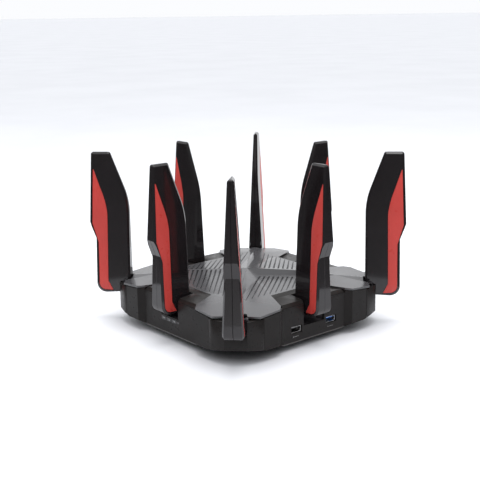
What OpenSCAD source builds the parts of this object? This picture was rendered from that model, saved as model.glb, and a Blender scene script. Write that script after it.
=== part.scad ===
// Wireless router: a low square body with cut corners that stands on rubber feet,
// eight blade antennas on tilting hinges round its edge, and a vented pinwheel top.
// Origin: middle of the footprint, on the surface that it stands on. +Z is up.
// The front (three keys) faces -Y, the two USB sockets face +X, the LAN sockets +Y,
// and the power and WAN sockets face -X.

/* [Antennas] */
// Height of the antenna tips above the surface
tip_h = 184; // [176:1:192]
// Tip distance from the middle, for the four antennas on the sides
side_tip = 120; // [119:0.5:122]
// Tip distance from the middle, for the four antennas on the corners
corner_tip = 164.1; // [163.5:0.1:166]
// Half thickness of a blade at its outer tip
tip_half = 3.2; // [2.8:0.1:3.6]
// Width of the chamfer along a blade's outer edge
edge_w = 2.1; // [1.5:0.1:2.4]
// How deep that chamfer goes into a blade's thickness
edge_d = 1.7; // [1.2:0.1:2]
// Hinge pin diameter
pin_d = 3; // [2.6:0.1:3.4]
// Radial clearance of a blade's bore on its pin
pin_gap = 0.05; // [0.02:0.01:0.1]
// Height of the hinge pins above the surface
pin_z = 44; // [43.5:0.1:44.5]

/* [Body] */
// Distance from the middle to a recessed side face
side_x = 103.3; // [103:0.1:104]
// Half length of a recessed side face
side_half = 42.9; // [42:0.1:43.5]
// Distance from the middle to a raised bastion face
bastion_x = 108.8; // [108:0.1:109.5]
// Where a bastion face starts, measured from the side's middle
bastion_from = 49.8; // [49:0.1:50.5]
// Where a bastion face ends, measured from the side's middle
bastion_to = 76.1; // [75:0.1:77]
// Distance from the middle to a corner's front facet, along the diagonal
nose_r = 137.4; // [137:0.1:138]
// Half width of a corner's front facet
nose_half = 11.3; // [11:0.1:12]
// Thickness of the outer wall
wall = 2.4; // [2:0.1:2.6]
// Height of the wall's lower edge on the sides
wall_low = 8.5; // [8:0.1:9]
// Height of the underside
floor_z = 2.6; // [2.4:0.1:3]
// Thickness of the top cover
cover_t = 2; // [1.8:0.1:2.2]
// Height of the pinwheel's centre
peak_z = 58; // [57:0.5:59]
// Height of the four flat tabs
tab_z = 48.5; // [48:0.1:49]

/* [Electronics] */
// Height of the main board's upper face
board_z = 17; // [16.8:0.1:17.2]
// Distance of the USB sockets from the side's middle
usb_y = 24; // [23:0.5:26]
// Number of fins on the heat sink
fins = 13; // [9:2:15]

/* [Keys] */
// Spacing of the three front keys
key_pitch = 8.95; // [8.9:0.05:9.4]
// Travel of every key and button
travel = 0.6; // [0.4:0.1:0.8]

/* [Hidden] */
SIDES = ["front", "right", "back", "left"];
CORNERS = ["front_right", "back_right", "back_left", "front_left"];
BASE = ["bottom_case", "side_frame", "corner_bumpers", "side_tabs", "top_cover",
        "status_light", "main_board", "heat_sink", "thermal_pads", "shield_cans",
        "lan_sockets", "wan_socket", "usb_shells", "usb_tongues", "power_jack",
        "power_button", "reset_button", "wifi_key", "pairing_key", "light_key",
        "tact_switches", "rubber_feet", "case_screws", "board_screws",
        "antenna_sockets", "hinge_pins", "antenna_cables", "rating_plate"];
PIECES = ["shell_left", "shell_right", "inlays", "radiator"];

eps = 0.01;
big = 400;
r2 = sqrt(2);
black = [0.16, 0.15, 0.15];
gloss = [0.1, 0.09, 0.1];
red = [0.79, 0.3, 0.28];
steel = [0.75, 0.75, 0.76];
dark = [0.08, 0.08, 0.08];

// --- plane geometry ---------------------------------------------------------
function turn(p, a) = [p.x * cos(a) - p.y * sin(a), p.x * sin(a) + p.y * cos(a)];
function unit(v) = v / norm(v);
function from_diagonal(a, w) = [(a + w) / r2, (a - w) / r2];
function arc(c, r, a0, a1, n) =
    [for (i = [0:n]) c + r * [cos(a0 + (a1 - a0) * i / n), sin(a0 + (a1 - a0) * i / n)]];
function bend(p, q, s, n) =
    [for (i = [0:n]) let (t = i / n) (1 - t) * (1 - t) * p + 2 * t * (1 - t) * q + t * t * s];
// A counter-clockwise polygon moved inwards by d on every side.
function inset(p, d) = let (n = len(p)) [
    for (i = [0:n - 1])
        let (u = unit(p[i] - p[(i + n - 1) % n]), v = unit(p[(i + 1) % n] - p[i]),
             m = [-u.y, u.x], k = [-v.y, v.x])
            p[i] + d / (1 + m * k) * (m + k)];

QUARTER = [
    [side_x, side_half], [bastion_x, bastion_from], [bastion_x, bastion_to],
    from_diagonal(nose_r, nose_half), from_diagonal(nose_r, -nose_half),
    [bastion_to, bastion_x], [bastion_from, bastion_x], [side_half, side_x]];
OUTLINE = [for (k = [0:3], p = QUARTER) turn(p, 90 * k)];

module plate(points, z0, z1) {
    translate([0, 0, z0]) linear_extrude(z1 - z0) polygon(points);
}
module each_side() {
    for (k = [0:3]) rotate(90 * k) children();
}
module each_corner() {
    for (k = [0:3]) rotate(45 + 90 * k) children();
}

// --- body -------------------------------------------------------------------
low_slope = atan(0.25);
side_slope = atan(0.5);
corner_low = 8.3;
top_slope = atan(0.1123);
edge_a = (bastion_x + bastion_from) / r2;
bumper_a = 127.4;
bumper_top = 43.4;
bumper_gap = 0.3;
web_z = 17.6;
web_h = 8.8;

// Everything under the body's faceted underside.
module underside(up = 0) {
    translate([-big / 2, -big / 2, floor_z + up - big]) cube([big, big, big]);
    each_side()
        translate([side_x, 0, wall_low + up]) rotate([0, -side_slope, 0])
            translate([-big / 2, -big / 2, -big]) cube([big, big, big]);
    each_corner()
        translate([edge_a, 0, corner_low + up]) rotate([0, -low_slope, 0])
            translate([-big / 2, -big / 2, -big]) cube([big, big, big]);
}
// Everything above the sloping tops of the bastion walls.
module above_corners(z) {
    each_corner()
        translate([edge_a, 0, z]) rotate([0, top_slope, 0])
            translate([-20, -big / 4, 0]) cube([100, big / 2, 60]);
}
// The region that the bumpers fill, grown by g.
module bumper_zone(g = 0) {
    each_corner() translate([bumper_a - g, -60, -10]) cube([40, 120, 90]);
}

// --- antenna bays -----------------------------------------------------------
pin_in = 32.3;
side_pin = side_tip - pin_in;
corner_pin = corner_tip - pin_in;
bay_back = 7.7;
bay_half = 9.8;
bay_wall = 1.8;
side_mouth = 14.6;
corner_mouth = 10.9;
front_floor = 26.2;
side_floor = 22.4;
corner_floor = 28.6;
side_bay_top = tab_z - cover_t;
corner_bay_top = 43.2;
boss_u = bay_back + bay_wall + 2.2;
floor_t = 1.2;
side_seat = 7.2;
corner_seat = 14.4;

function bay(reach, mouth, g) = [
    [-bay_back - g, -bay_half - g], [reach, -mouth - g],
    [reach, mouth + g], [-bay_back - g, bay_half + g]];

// The open space of every bay, for cutting covers and walls.
module bays(g = 0) {
    for (k = [0:3]) rotate(90 * k - 90)
        translate([side_pin, 0, k == 0 ? front_floor : side_floor])
            linear_extrude(60) polygon(bay(side_x - side_pin + 1, side_mouth, g));
    each_corner()
        translate([corner_pin, 0, corner_floor])
            linear_extrude(60) polygon(bay(nose_r - corner_pin + 1, corner_mouth, g));
}

module socket(reach, mouth, low, high, seat) {
    difference() {
        union() {
            difference() {
                translate([0, 0, low - floor_t])
                    linear_extrude(high - low + floor_t) polygon(bay(reach, mouth, bay_wall));
                translate([0, 0, low])
                    linear_extrude(60) polygon(bay(reach + 1, mouth, 0));
            }
            for (m = [0, 1]) mirror([0, m, 0])
                translate([0, 9.1, pin_z]) rotate([-90, 0, 0])
                    cylinder(r = 2.2, h = bay_half + bay_wall - 9, $fn = 48);
            translate([-boss_u, 0, seat]) cylinder(r = 4, h = low - seat, $fn = 48);
        }
        translate([0, -30, pin_z]) rotate([-90, 0, 0]) cylinder(d = pin_d, h = 60, $fn = 48);
        translate([-boss_u, 0, seat - 1]) cylinder(r = 1.3, h = screw_in + 1, $fn = 32);
    }
}

module antenna_sockets() {
    color(dark) {
        for (k = [0:3]) rotate(90 * k - 90) translate([side_pin, 0, 0])
            socket(side_x - wall - side_pin - 0.05, 13.9, k == 0 ? front_floor : side_floor,
                   side_bay_top, side_seat);
        each_corner() translate([corner_pin, 0, 0])
            socket(nose_r - wall - corner_pin - 0.9, 10.56,
                   corner_floor, corner_bay_top, corner_seat);
    }
}

pin_side = 12.2;
pin_corner = 11.4;
module hinge_pins() {
    color(steel) {
        each_side() translate([side_pin, -pin_side, pin_z]) rotate([-90, 0, 0])
            cylinder(d = pin_d, h = 2 * pin_side, $fn = 48);
        each_corner() translate([corner_pin, -pin_corner, pin_z]) rotate([-90, 0, 0])
            cylinder(d = pin_d, h = 2 * pin_corner, $fn = 48);
    }
}

// --- outer wall ---------------------------------------------------------------
jack_w = 16;
lan_x = 26;
lan_h = 25.4;
wan_y = 26;
wan_h = 13.4;
usb_w = 13.2;
usb_h = 5.9;
usb_z = board_z + 0.6 + usb_h / 2;
power_y = -23;
power_z = board_z + 6;
button_y = -35.4;
reset_y = 38.6;
key_w = 8.3;
key_h = 3.6;
key_z = 22.7;
key_fit = 0.2;
flange = 0.4;
light_x = 13.9;
key_mid = -1;

module wall_holes() {
    for (s = [-1, 1]) {
        translate([side_x, s * usb_y, usb_z]) cube([20, usb_w + 1.4, usb_h + 1.4], center = true);
        translate([s * lan_x, side_x, board_z + lan_h / 2])
            cube([jack_w + 0.4, 20, lan_h + 0.4], center = true);
    }
    translate([-side_x, wan_y, board_z + wan_h / 2])
        cube([20, jack_w + 0.4, wan_h + 0.4], center = true);
    for (i = [-1:1])
        translate([key_mid + i * key_pitch, -side_x, key_z])
            cube([key_w + 2 * key_fit, 20, key_h + 2 * key_fit], center = true);
    translate([-side_x - 10, power_y, power_z]) rotate([0, 90, 0])
        cylinder(r = 4.2, h = 20, $fn = 48);
    translate([-side_x - 10, button_y, power_z]) rotate([0, 90, 0])
        cylinder(r = 4.3, h = 20, $fn = 48);
    translate([-side_x - 10, reset_y, power_z]) rotate([0, 90, 0])
        cylinder(r = 1.3, h = 20, $fn = 32);
    translate([light_x, -side_x + 10, key_z]) rotate([90, 0, 0])
        cylinder(r = 1.1, h = 20, $fn = 32);
}

module side_frame() {
    color(black) difference() {
        union() {
            difference() {
                plate(OUTLINE, 0, tab_z);
                plate(inset(OUTLINE, wall), -1, 60);
                bumper_zone(bumper_gap);
            }
            intersection() {
                plate(inset(OUTLINE, 0.5), web_z, web_z + web_h);
                each_corner() translate([bumper_a - bumper_gap - wall, -40, 0]) cube([wall, 80, 60]);
            }
        }
        underside();
        above_corners(tab_z - cover_t + 0.1);
        // Shadow gap under the cover's edge.
        difference() {
            above_corners(tab_z - cover_t - 0.5);
            plate(inset(OUTLINE, 1.1), -1, 90);
        }
        each_side() {
            translate([side_x - 20, -side_half - 0.6, tab_z - 4.2])
                cube([30, 2 * side_half + 1.2, 20]);
            translate([side_x - 20, -side_half - 3, tab_z - 1.25])
                cube([30, 2 * side_half + 6, 20]);
        }
        bays();
        wall_holes();
    }
}

module corner_bumpers() {
    color(black) {
        difference() {
            intersection() {
                plate(OUTLINE, 0, bumper_top);
                bumper_zone();
            }
            plate(inset(OUTLINE, wall), -1, bumper_top - cover_t);
            intersection() {
                plate(inset(OUTLINE, wall), 0, 60);
                bays(bay_wall + 0.1);
            }
            underside();
            bays();
        }
        // Two ribs a bumper, which rest against the frame's corner web.
        intersection() {
            plate(inset(OUTLINE, wall / 2), web_z + 1, web_z + web_h - 1);
            each_corner() for (s = [-1, 1])
                translate([bumper_a - bumper_gap, s * 17 - 1, 0]) cube([20, 2, 60]);
        }
    }
}

lip_in = wall + 0.15;
tray_t = 2.2;
module bottom_case() {
    color(black) difference() {
        union() {
            difference() {
                plate(inset(OUTLINE, lip_in), 0, 13);
                plate(inset(OUTLINE, lip_in + 1.8), floor_z + tray_t, 20);
                underside();
            }
            difference() {
                plate(inset(OUTLINE, lip_in + 0.5), 0, 20);
                difference() {
                    translate([-big / 2, -big / 2, -1]) cube([big, big, 40]);
                    underside(tray_t);
                }
                underside();
            }
            each_side() translate([side_pin - boss_u, 0, floor_z])
                cylinder(r = 5, h = side_seat - floor_z, $fn = 48);
            difference() {
                each_corner() translate([corner_pin - boss_u, 0, corner_seat - 5])
                    cylinder(r = 5, h = 5, $fn = 48);
                underside();
            }
            for (x = [-1, 1], y = [-1, 1])
                translate([x * post_x, y * post_y, floor_z])
                    cylinder(r = 3.6, h = board_z - 1.6 - floor_z, $fn = 48);
        }
        each_side() translate([side_pin - boss_u, 0, side_seat - web_t]) screw_hole();
        each_corner() translate([corner_pin - boss_u, 0, corner_seat - web_t]) screw_hole();
        for (x = [-1, 1], y = [-1, 1])
            translate([x * post_x, y * post_y, board_z - 9]) cylinder(r = 1.2, h = 12, $fn = 32);
    }
}
post_x = 62;
post_y = 50;

// How much plastic a case screw's head bears on, and how far its thread goes in.
web_t = 2.4;
screw_in = 9;
module screw_hole() {
    translate([0, 0, -12]) cylinder(r = 3.1, h = 12, $fn = 48);
    cylinder(r = 1.6, h = 12, $fn = 32);
}

module case_screws() {
    color(steel) {
        each_side() translate([side_pin - boss_u, 0, side_seat - web_t]) case_screw();
        each_corner() translate([corner_pin - boss_u, 0, corner_seat - web_t]) case_screw();
    }
}
module case_screw() {
    difference() {
        translate([0, 0, -1.5]) cylinder(r = 2.8, h = 1.5, $fn = 48);
        translate([0, 0, -1.6]) cylinder(r = 1.4, h = 0.9, $fn = 6);
    }
    translate([0, 0, -eps]) cylinder(r = 1.3, h = web_t + screw_in - 0.5, $fn = 32);
}

foot_r = 80;
module rubber_feet() {
    color(dark) each_corner() translate([foot_r, 0, 0]) cylinder(r = 8, h = floor_z, $fn = 64);
}

module rating_plate() {
    color("silver") translate([-32, -24, floor_z - 0.3]) cube([64, 48, 0.3]);
}

// --- top cover ------------------------------------------------------------------
ridge_z = 55.8;
low_z = 50.9;
field_z = 50.4;
shoulder_z = 51.3;
tip_z = 49.2;
tab_half = 31;
tab_in = 73.5;
tab_spread = 0.45;
rim_gap = 0.5;
cover_edge_a = 129.5;

function at(r, off, z) = let (p = turn([r, off], 45)) [p.x, p.y, z];
function flip(p) = [p.y, p.x, p.z];
function rim(x, y) = [x, y, edge_height((x + y) / r2)];
function edge_height(a) = tab_z + 0.1 - tan(top_slope) * (a - edge_a);

// One corner's points, from the tab on its clockwise side to the diagonal.
WING = [
    [tab_in, tab_half, field_z],
    rim(side_x - 0.4, tab_half + tab_spread * (side_x - tab_in) + 0.1),
    rim(bastion_x - rim_gap, bastion_from + 0.3),
    rim(bastion_x - rim_gap, bastion_to),
    at(cover_edge_a, -corner_mouth, edge_height(cover_edge_a)),
    at(corner_pin - bay_back, -bay_half, edge_height(corner_pin - bay_back))];
RIDGE = [
    at(62, 0, ridge_z), at(94, 0, shoulder_z), at(corner_pin - bay_back, 0, tip_z)];
// A low panel's own inner points: foot of the cliff, and foot of the far ridge.
LOW = [
    at(12.5, -4.2, low_z), at(62, -3, low_z),
    [24, -9, 52], [46.7, -41, 51.8]];

// 19 points a quarter: wing, ridge, mirrored wing, then the panel's inner points.
// The right and left panels (k even) drop to a flat field, the others fall evenly.
function quarter_points(k) = concat(
    WING, RIDGE, [for (i = [0:5]) flip(WING[5 - i])],
    k % 2 == 0 ? LOW : [LOW[0] + [0, 0, 5.6], LOW[1] + [0, 0, 0.3], LOW[2], LOW[3]]);
RELIEF = concat([[0, 0, peak_z]], [
    for (k = [0:3], p = quarter_points(k)) let (q = turn(p, 90 * k)) [q.x, q.y, p.z]]);
function v(k, i) = 1 + 19 * ((k + 4) % 4) + i;

// The triangles of one quarter, counter-clockwise from above.
function wing_faces(k) = [
    [v(k, 0), v(k, 1), v(k, 7)], [v(k, 1), v(k, 2), v(k, 7)], [v(k, 2), v(k, 3), v(k, 7)],
    [v(k, 3), v(k, 5), v(k, 7)], [v(k, 3), v(k, 4), v(k, 5)], [v(k, 5), v(k, 8), v(k, 7)],
    [v(k, 7), v(k, 8), v(k, 9)], [v(k, 9), v(k, 11), v(k, 7)], [v(k, 9), v(k, 10), v(k, 11)],
    [v(k, 11), v(k, 12), v(k, 7)], [v(k, 12), v(k, 13), v(k, 7)], [v(k, 13), v(k, 14), v(k, 7)]];
// j is the quarter before k, so its ridge is the panel's high side.
function panel_faces(k) = let (j = k - 1) concat(
    [[0, v(k, 15), v(k, 16)], [0, v(k, 16), v(k, 6)], [v(k, 16), v(k, 7), v(k, 6)],
     [v(k, 16), v(k, 0), v(k, 7)]],
    k % 2 == 0
    ? [[0, v(j, 6), v(k, 18)], [0, v(k, 18), v(k, 17)], [v(j, 6), v(j, 7), v(k, 18)],
       [0, v(k, 17), v(k, 15)], [v(k, 17), v(k, 18), v(j, 14)], [v(k, 18), v(j, 7), v(j, 14)],
       [v(k, 15), v(k, 17), v(j, 14)], [v(k, 15), v(j, 14), v(k, 0)],
       [v(k, 15), v(k, 0), v(k, 16)]]
    : [[0, v(j, 6), v(j, 14)], [v(j, 6), v(j, 7), v(j, 14)], [0, v(j, 14), v(k, 15)],
       [v(k, 15), v(j, 14), v(k, 0)], [v(k, 15), v(k, 0), v(k, 16)]]);
TOP_FACES = [for (k = [0:3], f = concat(wing_faces(k), panel_faces(k))) f];
RIM = [for (k = [0:3], i = [0:14]) if (i < 6 || i > 8) v(k, i)];
module relief() {
    n = len(RELIEF);
    m = len(RIM);
    points = concat(RELIEF, [for (p = RELIEF) p - [0, 0, cover_t]]);
    // The slot's edge runs straight across the diagonal, so its middle joins the rim.
    sides = [for (i = [0:m - 1]) let (a = RIM[i], b = RIM[(i + 1) % m])
        each a % 19 == 6 ? [[a, a + 3, n + a + 3, n + a], [a + 3, b, n + b, n + a + 3]]
                         : [[a, b, n + b, n + a]]];
    polyhedron(points, concat([for (f = TOP_FACES) [f[2], f[1], f[0]]],
                              [for (f = TOP_FACES) [n + f[0], n + f[1], n + f[2]]], sides),
               convexity = 10);
}

slit_pitch = 4.95;
slit_count = 16;
// Narrowing slits of one panel, from the edge of the diagonal ridge out to the tab.
module slits(heading, first, start, reach) {
    for (i = [0:slit_count - 1]) {
        p = turn([first + i * slit_pitch, -start], 45);
        run = (reach - p.x) / cos(heading);
        if (run > 6 && run < 100)
            translate([p.x, p.y, 30]) rotate(heading) linear_extrude(60)
                polygon([[0, -1.2], [run, -0.5], [run, 0.5], [0, 1.2]]);
    }
}

module top_cover() {
    color(black) difference() {
        relief();
        bays();
        for (k = [0, 2]) rotate(90 * k) slits(-50.5, 14.6, 8, 70.5);
        rotate(90) mirror([0, 1, 0]) slits(-45, 13.4, 7, 72.5);
        rotate(270) mirror([0, 1, 0]) slits(-45, 13.4, 2.6, 69.5);
    }
}

module side_tabs() {
    tab = [for (s = [-1, 1]) each [for (x = s < 0 ? [tab_in + 0.1, side_x] : [side_x, tab_in + 0.1])
        [x, s * min(tab_half + tab_spread * (x - tab_in) - 0.7, side_half)]]];
    profile = [
        [tab_in + 0.1, field_z], [79, tab_z], [side_x - 3, tab_z], [side_x, tab_z - 2.9],
        [side_x, tab_z - 4.2], [side_x - wall, tab_z - 4.2], [side_x - wall, tab_z - cover_t],
        [79.4, tab_z - cover_t], [tab_in + 0.1, field_z - cover_t]];
    color(black) difference() {
        each_side() intersection() {
            plate(tab, 40, 60);
            translate([0, 60, 0]) rotate([90, 0, 0]) linear_extrude(120) polygon(profile);
        }
        bays();
    }
}

// --- electronics ------------------------------------------------------------------
module main_board() {
    color("darkgreen") difference() {
        plate(inset(OUTLINE, 7), board_z - 1.6, board_z);
        each_side() translate([side_pin - boss_u, 0, 0]) cylinder(r = 4.6, h = 40, $fn = 48);
        each_corner() translate([corner_pin - boss_u, 0, 0]) cylinder(r = 4.6, h = 40, $fn = 48);
        for (x = [-1, 1], y = [-1, 1])
            translate([x * post_x, y * post_y, 0]) cylinder(r = 1.7, h = 40, $fn = 32);
    }
}

module board_screws() {
    color(steel) for (x = [-1, 1], y = [-1, 1])
        translate([x * post_x, y * post_y, 0]) {
            translate([0, 0, board_z]) cylinder(r = 2.8, h = 1.5, $fn = 48);
            translate([0, 0, board_z - 8]) cylinder(r = 1.2, h = 8 + eps, $fn = 32);
        }
}

can = [46, 34, 2.6];
CANS = [[-26, -20], [26, -20], [-26, 20], [26, 20]];
pad_h = 1;
module shield_cans() {
    color(steel) for (c = CANS)
        translate([c.x, c.y, board_z]) difference() {
            translate([-can.x / 2, -can.y / 2, 0]) cube(can);
            translate([-can.x / 2 + 0.4, -can.y / 2 + 0.4, -eps])
                cube([can.x - 0.8, can.y - 0.8, can.z - 0.4]);
        }
}
module thermal_pads() {
    color("lightblue") for (c = CANS)
        translate([c.x - 15, c.y - 12, board_z + can.z]) cube([30, 24, pad_h]);
}
sink_z = board_z + can.z + pad_h;
sink = [104, 80, 3];
fin_h = 17;
module heat_sink() {
    color("silver") {
        translate([-sink.x / 2, -sink.y / 2, sink_z]) cube(sink);
        for (i = [0:fins - 1])
            translate([-sink.x / 2 + i * (sink.x - 1.4) / (fins - 1), -sink.y / 2,
                       sink_z + sink.z - eps])
                cube([1.4, sink.y, fin_h]);
    }
}

// A network socket whose mouth faces +X, with its lower front corner at the origin's height.
port_w = 11.8;
port_h = 7.4;
port_deep = 12.5;
jack_deep = 16;
module port(z) {
    translate([-port_deep, -port_w / 2, z]) cube([port_deep + 1, port_w, port_h]);
    translate([-port_deep, -3, z - 2]) cube([port_deep + 1, 6, 2.1]);
}
module socket_block(h, rows) {
    difference() {
        translate([-jack_deep, -jack_w / 2, 0]) cube([jack_deep, jack_w, h]);
        for (i = [0:rows - 1]) port(3.6 + i * h / rows);
    }
    for (i = [0:rows - 1], j = [0:7])
        translate([-port_deep - 0.5, (j - 3.5) * 1.02 - 0.2, 3.6 + i * h / rows + port_h - 1.1])
            cube([9, 0.4, 0.9]);
}
module lan_sockets() {
    color(steel) for (s = [-1, 1])
        translate([s * lan_x, side_x - 0.3, board_z]) rotate(90) socket_block(lan_h, 2);
}
module wan_socket() {
    color(steel) translate([-side_x + 0.3, wan_y, board_z]) rotate(180) socket_block(wan_h, 1);
}

usb_deep = 13.2;
usb_face = side_x - 1.2;
module usb_shells() {
    color(steel) for (s = [-1, 1])
        translate([usb_face - usb_deep, s * usb_y - usb_w / 2, usb_z - usb_h / 2]) difference() {
            translate([0, 0, 0]) cube([usb_deep, usb_w, usb_h]);
            translate([1.5, 0.4, 0.4]) cube([usb_deep, usb_w - 0.8, usb_h - 0.8]);
        }
}
module usb_tongues() {
    color("royalblue") for (s = [-1, 1])
        translate([usb_face - usb_deep + 1.5, s * usb_y - 5.3, usb_z + 0.55])
            cube([9.5, 10.6, 1.7]);
}

module power_jack() {
    color(dark) translate([-side_x + 0.3, power_y, power_z]) {
        difference() {
            union() {
                translate([wall + 0.1, -4.6, board_z - power_z]) cube([11.5, 9.2, 11]);
                rotate([0, 90, 0]) cylinder(r = 4, h = 4, $fn = 48);
            }
            translate([-1, 0, 0]) rotate([0, 90, 0]) cylinder(d = 5.7, h = 11, $fn = 48);
        }
        translate([1, 0, 0]) rotate([0, 90, 0]) cylinder(d = 2, h = 10, $fn = 32);
    }
}

// --- keys and buttons -----------------------------------------------------------------
reach_in = 5;
// A front key: its face lies just proud of the wall and a flange holds it from behind.
module front_key(i) {
    color(gloss) translate([key_mid + i * key_pitch, -side_x, key_z]) {
        translate([-key_w / 2, -0.25, -key_h / 2]) cube([key_w, wall + 0.35, key_h]);
        translate([-key_w / 2 - 0.15, wall + 0.05, -key_h / 2 - flange])
            cube([key_w + 0.3, 1, key_h + 2 * flange]);
        translate([-1.5, wall + 1, -1.2]) cube([3, reach_in - 1, 2.4]);
    }
}
module wifi_key() { front_key(-1); }
module pairing_key() { front_key(0); }
module light_key() { front_key(1); }

module power_button() {
    color(gloss) translate([-side_x - 1.2, button_y, power_z]) rotate([0, 90, 0]) {
        cylinder(r = 4.1, h = 1.2 + wall + 0.1, $fn = 64);
        translate([0, 0, 1.2 + wall + 0.05]) cylinder(r = 5, h = 1, $fn = 64);
        translate([0, 0, wall + 2]) cylinder(r = 1.5, h = reach_in - 0.8, $fn = 32);
    }
}
module reset_button() {
    color(gloss) translate([-side_x + 0.9, reset_y, power_z]) rotate([0, 90, 0]) {
        cylinder(r = 1.15, h = wall - 0.8, $fn = 32);
        translate([0, 0, wall - 0.85]) cylinder(r = 2, h = 1, $fn = 32);
        translate([0, 0, wall]) cylinder(r = 1, h = reach_in - 0.9, $fn = 32);
    }
}
switch = [5, 6, 7.4];
module tact_switch() {
    translate([wall + reach_in + travel + 0.1, -switch.y / 2, 0]) cube(switch);
}
module tact_switches() {
    color("dimgray") {
        for (i = [-1:1]) translate([key_mid + i * key_pitch, -side_x, board_z]) rotate(90) tact_switch();
        for (y = [button_y, reset_y]) translate([-side_x, y, board_z]) tact_switch();
    }
}

module status_light() {
    color("white") translate([light_x, -side_x, key_z]) rotate([-90, 0, 0]) {
        cylinder(r = 1.05, h = wall + 4, $fn = 32);
        translate([0, 0, wall + 0.05]) cylinder(r = 1.4, h = 1.2, $fn = 32);
    }
    color("white") translate([light_x - 1.5, -side_x + wall + 2.5, board_z])
        cube([3, 2.4, key_z - board_z + 1.2]);
}

coax_r = 0.8;
coax_bend = 4;
// One aerial lead: up from the board, round a bend and out to the bay's back wall.
module coax(pin_r) {
    out = pin_r - bay_back - bay_wall;
    foot = out - 12;
    high = 37;
    translate([foot, 7.2, board_z]) {
        cylinder(r = 1.5, h = 1.6, $fn = 32);
        cylinder(r = coax_r, h = high - board_z - coax_bend, $fn = 32);
        translate([coax_bend, 0, high - board_z - coax_bend]) rotate([90, 0, 180])
            rotate_extrude(angle = 90, start = 0, $fn = 48)
                translate([coax_bend, 0]) circle(r = coax_r, $fn = 32);
        translate([coax_bend, 0, high - board_z]) rotate([0, 90, 0])
            cylinder(r = coax_r, h = out - foot - coax_bend, $fn = 32);
    }
}
module antenna_cables() {
    color("dimgray") {
        each_side() coax(side_pin);
        each_corner() coax(corner_pin);
    }
}

// --- antenna blades -------------------------------------------------------------------
// Blade frame: X runs outwards from the tip line, Y across the thickness, Z up.
waist_z = 109;
step_z = 93;
blade_low = 32;
blade_top = tip_h;
lean_x = 0.0583;
lean_z = 0.0501;
function half_at(x, z) = tip_half + lean_x * x + lean_z * (tip_h - z);

tip_r = 2.6;
// A blade's side view, from the bottom up the outer edge and down the inner one.
BLADE = concat(
    [[-30.1, 32.2]], arc([-11.9, 42.1], 10.5, -90, 2, 10), [[-2.4, step_z], [3.7, waist_z]],
    arc([-2.5, tip_h - tip_r], tip_r, 3, 90, 5),
    arc([-18.1, tip_h - tip_r], tip_r, 90, 160, 4),
    bend([-33.9, 145.8], [-38.6, 133], [-38.5, 118], 6), [[-38.3, 100], [-38, 58]],
    arc([-pin_in, pin_z], 5.6, 180, 235, 5));
seam = 0.4;
function meet(p, u, q, v) = p + u * cross(q - p, v) / cross(u, v);
step_i = search(step_z, BLADE, 1, 1)[0];
// The chamfer's inner line. The step under the waist has no chamfer, so the line runs along it.
function chamfer_line(d) = let (
    k = step_i, m = inset(BLADE, d), a = BLADE[k], b = BLADE[k + 1],
    low = meet(m[k], a - BLADE[k - 1], a, b - a), high = meet(m[k + 1], BLADE[k + 2] - b, a, b - a))
    [for (i = [0:len(m) - 1]) i == k ? low : i == k + 1 ? high : m[i]];

// The +Y half of a blade: a chamfered rim and a flat, slanting face.
module half_blade() {
    n = len(BLADE);
    rings = [
        [for (p = inset(BLADE, seam)) [p.x, 0, p.y]],
        [for (p = BLADE) [p.x, seam, p.y]],
        [for (p = BLADE) [p.x, half_at(p.x, p.y) - edge_d, p.y]],
        [for (p = chamfer_line(edge_w)) [p.x, half_at(p.x, p.y), p.y]]];
    polyhedron([for (r = rings, p = r) p],
               concat([[for (i = [n - 1:-1:0]) i], [for (i = [0:n - 1]) 3 * n + i]],
                      [for (k = [0:2], i = [0:n - 1]) let (j = (i + 1) % n)
                          [k * n + i, k * n + j, (k + 1) * n + j, (k + 1) * n + i]]),
               convexity = 6);
}

INLAY = concat(
    [[-1.5, 165.6], [1.1, 107.6], [-4.85, 87.2], [-4.2, 43.5]],
    arc([-11.9, 42.4], 7.7, 8, -84, 6), [[-19.2, 34.2], [-14, 44.6], [-15.4, 110]],
    bend([-15.5, 117], [-15.3, 128.5], [-9.1, 145.5], 5), [[-2.4, 165.8]]);

module across(outline, y0, y1) {
    translate([0, y1, 0]) rotate([90, 0, 0]) linear_extrude(y1 - y0) polygon(outline);
}
// The space beyond a plane parallel to a blade's +Y face, d under the surface.
module beyond(d) {
    translate([0, tip_half - d, tip_h])
        rotate([atan(lean_z / sqrt(1 + lean_x * lean_x)), 0, atan(lean_x)])
            translate([-100, 0, -300]) cube([200, 60, 400]);
}
inlay_d = 1.1;
groove = 0.2;
CAVITY = [
    [-33, 58], [-8.5, 58], [-8.5, 88], [-3.5, 104], [-4.5, 170], [-16, 170], [-33.5, 128]];
// A pocket grown all round from the inlay that it holds.
module pocket() {
    intersection() {
        across(inset(rev(INLAY), -groove), 0, 30);
        beyond(inlay_d);
    }
}
// The +Y half of a blade's shell.
module half_shell() {
    difference() {
        resize([0, 0, 0]) difference() {
            half_blade();
            pocket();
            difference() {
                across(CAVITY, -1, 30);
                beyond(2);
            }
        }
        translate([-pin_in, -1, pin_z]) rotate([-90, 0, 0])
            cylinder(r = pin_d / 2 + pin_gap, h = 30, $fn = 48);
    }
}
function rev(p) = [for (i = [len(p) - 1:-1:0]) p[i]];

module inlay() {
    difference() {
        intersection() {
            across(INLAY, 0, 30);
            beyond(inlay_d - 0.05);
        }
        beyond(0.1);
    }
}
module radiator_board() {
    across([[-27, 60], [-15, 60], [-10.5, 70], [-10.5, 160], [-13, 160], [-27, 130]], -0.4, 0.4);
}

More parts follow.
